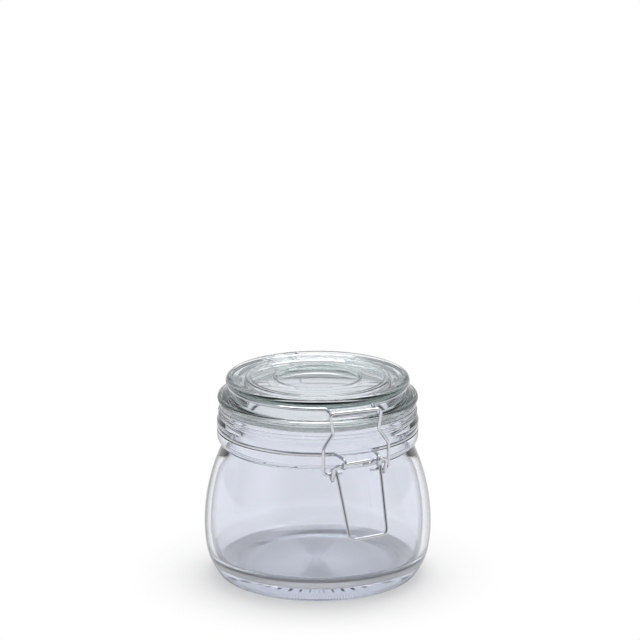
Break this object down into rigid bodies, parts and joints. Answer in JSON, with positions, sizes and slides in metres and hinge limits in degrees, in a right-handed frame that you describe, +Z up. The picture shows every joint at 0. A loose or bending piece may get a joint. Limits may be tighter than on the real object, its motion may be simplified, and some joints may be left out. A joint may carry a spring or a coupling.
{
  "type": "clip-top storage jar",
  "caption": "Round clear glass storage jar with a dished glass lid, a pale rubber gasket and a steel wire clip with a hinge at the back.",
  "frame": {"origin": "centre of the foot, on the surface that the jar stands on", "axes": "+Z up along the jar's axis; the wire clip and its handle are at -Y, the lid's hinge at +Y"},
  "size_m": [0.11, 0.1188, 0.0987],
  "materials": {
    "jar_glass": "clear moulded soda-lime glass",
    "lid_glass": "clear pressed soda-lime glass, faintly green in thick places",
    "gasket": "translucent whitish rubber",
    "wire": "bright drawn steel wire"
  },
  "bodies": {
    "jar": {"jar_glass": "jar_glass", "neck_wire": "wire"},
    "lid": {"lid_glass": "lid_glass", "gasket": "gasket", "lid_wire": "wire"},
    "lever": {"lever": "wire"},
    "clasp": {"clasp_loop": "wire"}
  },
  "joints": [
    {"name": "lid_hinge", "type": "hinge", "parent": "jar", "child": "lid", "pos_m": [0, 0.054, 0.084], "axis": [-1, 0, 0], "range_deg": [0, 110]},
    {"name": "lever_pivot", "type": "hinge", "parent": "jar", "child": "lever", "pos_m": [0, -0.05635, 0.0713], "axis": [-0.9983, 0, -0.0581], "range_deg": [0, 108]},
    {"name": "clasp_pivot", "type": "hinge", "parent": "lever", "child": "clasp", "pos_m": [0, -0.0504, 0.0649], "axis": [1, 0, 0], "range_deg": [0, 135]}
  ],
  "couplings": [
    {"joint": "clasp_pivot", "follows": "lever_pivot", "ratio": 1.25}
  ]
}
